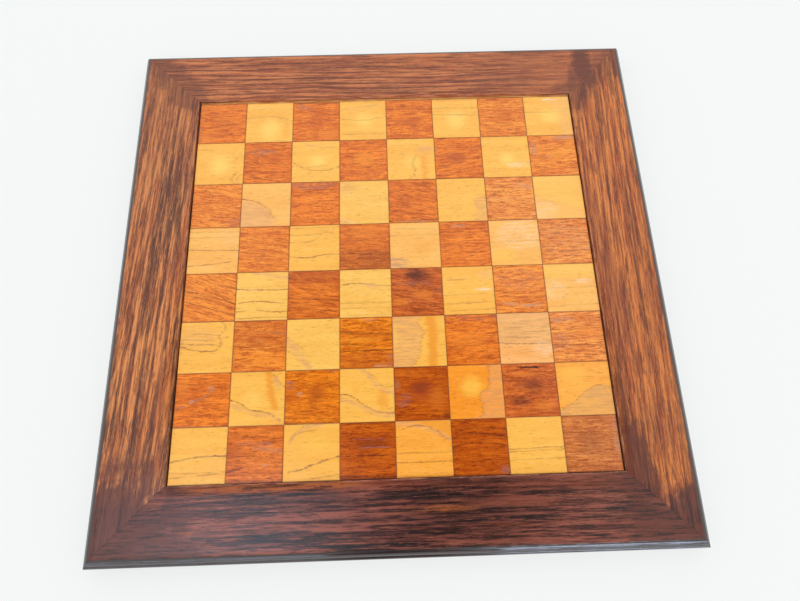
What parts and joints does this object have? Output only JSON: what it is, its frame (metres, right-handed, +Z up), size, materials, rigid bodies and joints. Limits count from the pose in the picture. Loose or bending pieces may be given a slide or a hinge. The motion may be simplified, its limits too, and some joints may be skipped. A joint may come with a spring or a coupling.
{
  "type": "chess board",
  "caption": "Flat framed wooden chess board: inlaid light and dark squares on a plywood panel, in a mitred, moulded frame of stained hardwood on felt feet.",
  "frame": {"origin": "middle of the board's plan, on the surface that it stands on, at the undersides of the felt feet", "axes": "+Z up, out of the playing surface; +Y from the front rail to the back rail; +X from the left rail to the right rail"},
  "size_m": [0.5328, 0.5328, 0.0223],
  "materials": {
    "stained_oak": "dark red-brown stain on open-grained hardwood under satin lacquer",
    "light_timber": "amber-yellow timber with thin grey grain lines, satin lacquer",
    "dark_timber": "orange-brown timber with short dark pores, satin lacquer",
    "filler_strip": "pale hardwood strip, lacquered over",
    "birch_plywood": "raw plywood",
    "backing_veneer": "plain brown veneer, thinly sealed",
    "beech_tongue": "raw planed hardwood",
    "felt": "pressed wool felt, dark green"
  },
  "bodies": {
    "root": {"front_rail": "stained_oak", "right_rail": "stained_oak", "back_rail": "stained_oak", "left_rail": "stained_oak", "light_square_a1": "light_timber", "light_square_a3": "light_timber", "light_square_a5": "light_timber", "light_square_a7": "light_timber", "light_square_b2": "light_timber", "light_square_b4": "light_timber", "light_square_b6": "light_timber", "light_square_b8": "light_timber", "light_square_c1": "light_timber", "light_square_c3": "light_timber", "light_square_c5": "light_timber", "light_square_c7": "light_timber", "light_square_d2": "light_timber", "light_square_d4": "light_timber", "light_square_d6": "light_timber", "light_square_d8": "light_timber", "light_square_e1": "light_timber", "light_square_e3": "light_timber", "light_square_e5": "light_timber", "light_square_e7": "light_timber", "light_square_f2": "light_timber", "light_square_f4": "light_timber", "light_square_f6": "light_timber", "light_square_f8": "light_timber", "light_square_g1": "light_timber", "light_square_g3": "light_timber", "light_square_g5": "light_timber", "light_square_g7": "light_timber", "light_square_h2": "light_timber", "light_square_h4": "light_timber", "light_square_h6": "light_timber", "light_square_h8": "light_timber", "dark_squares_rank_1": "dark_timber", "dark_squares_rank_2": "dark_timber", "dark_squares_rank_3": "dark_timber", "dark_squares_rank_4": "dark_timber", "dark_squares_rank_5": "dark_timber", "dark_squares_rank_6": "dark_timber", "dark_squares_rank_7": "dark_timber", "dark_squares_rank_8": "dark_timber", "back_filler_strip": "filler_strip", "plywood_substrate": "birch_plywood", "backing_veneer": "backing_veneer", "mitre_spline_front_left": "beech_tongue", "mitre_spline_front_right": "beech_tongue", "mitre_spline_back_right": "beech_tongue", "mitre_spline_back_left": "beech_tongue", "front_panel_tongue": "beech_tongue", "right_panel_tongue": "beech_tongue", "back_panel_tongue": "beech_tongue", "left_panel_tongue": "beech_tongue", "felt_foot_front_left": "felt", "felt_foot_front_right": "felt", "felt_foot_back_right": "felt", "felt_foot_back_left": "felt"}
  },
  "joints": []
}
